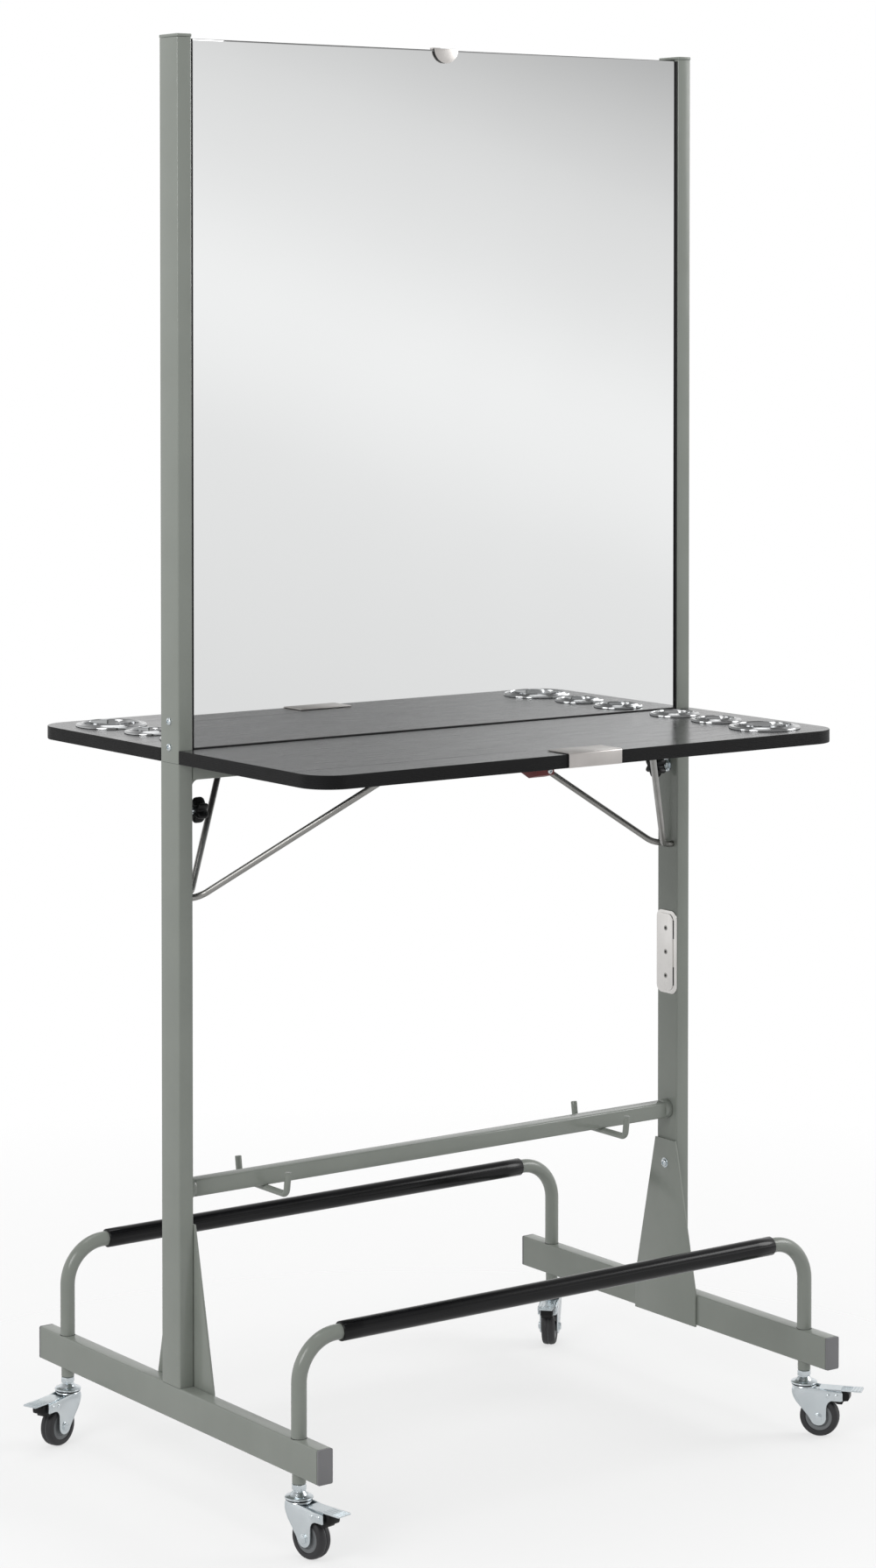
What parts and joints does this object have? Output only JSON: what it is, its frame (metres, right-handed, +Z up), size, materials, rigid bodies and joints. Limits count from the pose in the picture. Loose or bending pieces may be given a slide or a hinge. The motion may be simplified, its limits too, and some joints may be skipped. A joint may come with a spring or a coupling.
{
  "type": "double sided salon station",
  "caption": "Mobile double-sided salon styling station: tubular frame on braked castors, back-to-back mirror, drop-leaf shelves with tool rings, bails, footrests and hook rail",
  "frame": {"origin": "on the floor, midway between the posts, under the middle of the mirror", "axes": "+X from the left post to the right post seen from the front, +Y from the front leaf to the rear leaf, +Z up"},
  "size_m": [0.8864, 0.6499, 1.731],
  "materials": {
    "powder_coat": "satin sage-grey powder coat on steel tube",
    "grey_plastic": "moulded grey plastic",
    "black_plastic": "moulded black plastic",
    "black_vinyl": "glossy black vinyl tube",
    "laminate": "black wood-grain laminate on board",
    "mirror": "silvered glass with bevelled edges",
    "chrome": "polished chrome plate",
    "brushed_steel": "satin stainless sheet",
    "zinc": "bright zinc plate",
    "rubber": "grey rubber tyre on a plastic hub",
    "red_plastic": "dark red moulded plastic"
  },
  "bodies": {
    "frame": {"foot_left": "powder_coat", "lower_post_left": "powder_coat", "upper_post_left": "powder_coat", "gusset_left": "powder_coat", "post_cap_left": "grey_plastic", "foot_cap_left_front": "grey_plastic", "foot_cap_left_rear": "grey_plastic", "foot_right": "powder_coat", "lower_post_right": "powder_coat", "upper_post_right": "powder_coat", "gusset_right": "powder_coat", "post_cap_right": "grey_plastic", "foot_cap_right_front": "grey_plastic", "foot_cap_right_rear": "grey_plastic", "table_rail": "powder_coat", "hook_rail": "powder_coat", "mirror_sill": "black_plastic", "mirror_core": "black_plastic", "mirror_clip": "chrome", "accessory_plate": "brushed_steel", "footrest_front": "powder_coat", "footrest_sleeve_front": "black_vinyl", "mirror_pane_front": "mirror", "footrest_rear": "powder_coat", "footrest_sleeve_rear": "black_vinyl", "mirror_pane_rear": "mirror", "castor_stem_front_left": "zinc", "castor_stem_front_right": "zinc", "castor_stem_rear_left": "zinc", "castor_stem_rear_right": "zinc"},
    "leaf_front": {"leaf_front": "laminate", "ring_front_inner": "chrome", "ring_front_middle": "chrome", "ring_front_outer": "chrome", "clamp_plate_front": "brushed_steel", "catch_front": "red_plastic", "hinge_strap_front": "zinc"},
    "bail_front": {"bail_front": "zinc"},
    "leaf_rear": {"leaf_rear": "laminate", "ring_rear_inner": "chrome", "ring_rear_middle": "chrome", "ring_rear_outer": "chrome", "clamp_plate_rear": "brushed_steel", "catch_rear": "red_plastic", "hinge_strap_rear": "zinc"},
    "bail_rear": {"bail_rear": "zinc"},
    "knob_left": {"knob_left": "black_plastic"},
    "knob_right": {"knob_right": "black_plastic"},
    "castor_front_left": {"castor_fork_front_left": "zinc"},
    "wheel_front_left": {"castor_wheel_front_left": "rubber"},
    "pedal_front_left": {"brake_pedal_front_left": "zinc"},
    "castor_front_right": {"castor_fork_front_right": "zinc"},
    "wheel_front_right": {"castor_wheel_front_right": "rubber"},
    "pedal_front_right": {"brake_pedal_front_right": "zinc"},
    "castor_rear_left": {"castor_fork_rear_left": "zinc"},
    "wheel_rear_left": {"castor_wheel_rear_left": "rubber"},
    "pedal_rear_left": {"brake_pedal_rear_left": "zinc"},
    "castor_rear_right": {"castor_fork_rear_right": "zinc"},
    "wheel_rear_right": {"castor_wheel_rear_right": "rubber"},
    "pedal_rear_right": {"brake_pedal_rear_right": "zinc"}
  },
  "joints": [
    {"name": "leaf_front_fold", "type": "hinge", "parent": "frame", "child": "leaf_front", "pos_m": [0, -0.026, 0.87], "axis": [1, 0, 0], "range_deg": [0, 90]},
    {"name": "leaf_rear_fold", "type": "hinge", "parent": "frame", "child": "leaf_rear", "pos_m": [0, 0.026, 0.87], "axis": [-1, 0, 0], "range_deg": [0, 90]},
    {"name": "bail_front_swing", "type": "hinge", "parent": "frame", "child": "bail_front", "pos_m": [0, -0.01, 0.712], "axis": [1, 0, 0], "range_deg": [0, 131.6]},
    {"name": "bail_rear_swing", "type": "hinge", "parent": "frame", "child": "bail_rear", "pos_m": [0, 0.01, 0.712], "axis": [-1, 0, 0], "range_deg": [0, 131.6]},
    {"name": "knob_left_turn", "type": "hinge", "parent": "frame", "child": "knob_left", "pos_m": [-0.348, 0, 0.814], "axis": [1, 0, 0], "range_deg": [0, 720]},
    {"name": "knob_right_turn", "type": "hinge", "parent": "frame", "child": "knob_right", "pos_m": [0.348, 0, 0.814], "axis": [-1, 0, 0], "range_deg": [0, 720]},
    {"name": "castor_front_left_swivel", "type": "hinge", "parent": "frame", "child": "castor_front_left", "pos_m": [-0.38, -0.258, 0.068], "axis": [0, 0, 1], "continuous": true},
    {"name": "wheel_front_left_roll", "type": "hinge", "parent": "castor_front_left", "child": "wheel_front_left", "pos_m": [-0.37653, -0.2777, 0.02469], "axis": [0.9848, 0.1736, 0], "continuous": true},
    {"name": "brake_front_left_press", "type": "hinge", "parent": "castor_front_left", "child": "pedal_front_left", "pos_m": [-0.37427, -0.2905, 0.05219], "axis": [0.9848, 0.1736, 0], "range_deg": [0, 14]},
    {"name": "castor_front_right_swivel", "type": "hinge", "parent": "frame", "child": "castor_front_right", "pos_m": [0.38, -0.258, 0.068], "axis": [0, 0, 1], "continuous": true},
    {"name": "wheel_front_right_roll", "type": "hinge", "parent": "castor_front_right", "child": "wheel_front_right", "pos_m": [0.39231, -0.27376, 0.02469], "axis": [0.788, 0.6157, 0], "continuous": true},
    {"name": "brake_front_right_press", "type": "hinge", "parent": "castor_front_right", "child": "pedal_front_right", "pos_m": [0.40032, -0.284, 0.05219], "axis": [0.788, 0.6157, 0], "range_deg": [0, 14]},
    {"name": "castor_rear_left_swivel", "type": "hinge", "parent": "frame", "child": "castor_rear_left", "pos_m": [-0.38, 0.258, 0.068], "axis": [0, 0, 1], "continuous": true},
    {"name": "wheel_rear_left_roll", "type": "hinge", "parent": "castor_rear_left", "child": "wheel_rear_left", "pos_m": [-0.39879, 0.25116, 0.02469], "axis": [0.342, -0.9397, 0], "continuous": true},
    {"name": "brake_rear_left_press", "type": "hinge", "parent": "castor_rear_left", "child": "pedal_rear_left", "pos_m": [-0.41101, 0.24671, 0.05219], "axis": [0.342, -0.9397, 0], "range_deg": [0, 14]},
    {"name": "castor_rear_right_swivel", "type": "hinge", "parent": "frame", "child": "castor_rear_right", "pos_m": [0.38, 0.258, 0.068], "axis": [0, 0, 1], "continuous": true},
    {"name": "wheel_rear_right_roll", "type": "hinge", "parent": "castor_rear_right", "child": "wheel_rear_right", "pos_m": [0.36586, 0.24386, 0.02469], "axis": [0.7071, -0.7071, 0], "continuous": true},
    {"name": "brake_rear_right_press", "type": "hinge", "parent": "castor_rear_right", "child": "pedal_rear_right", "pos_m": [0.35667, 0.23467, 0.05219], "axis": [0.7071, -0.7071, 0], "range_deg": [0, 14]}
  ],
  "couplings": [
    {"joint": "bail_front_swing", "follows": "leaf_front_fold", "ratio": 1.4621},
    {"joint": "bail_rear_swing", "follows": "leaf_rear_fold", "ratio": 1.4621}
  ]
}
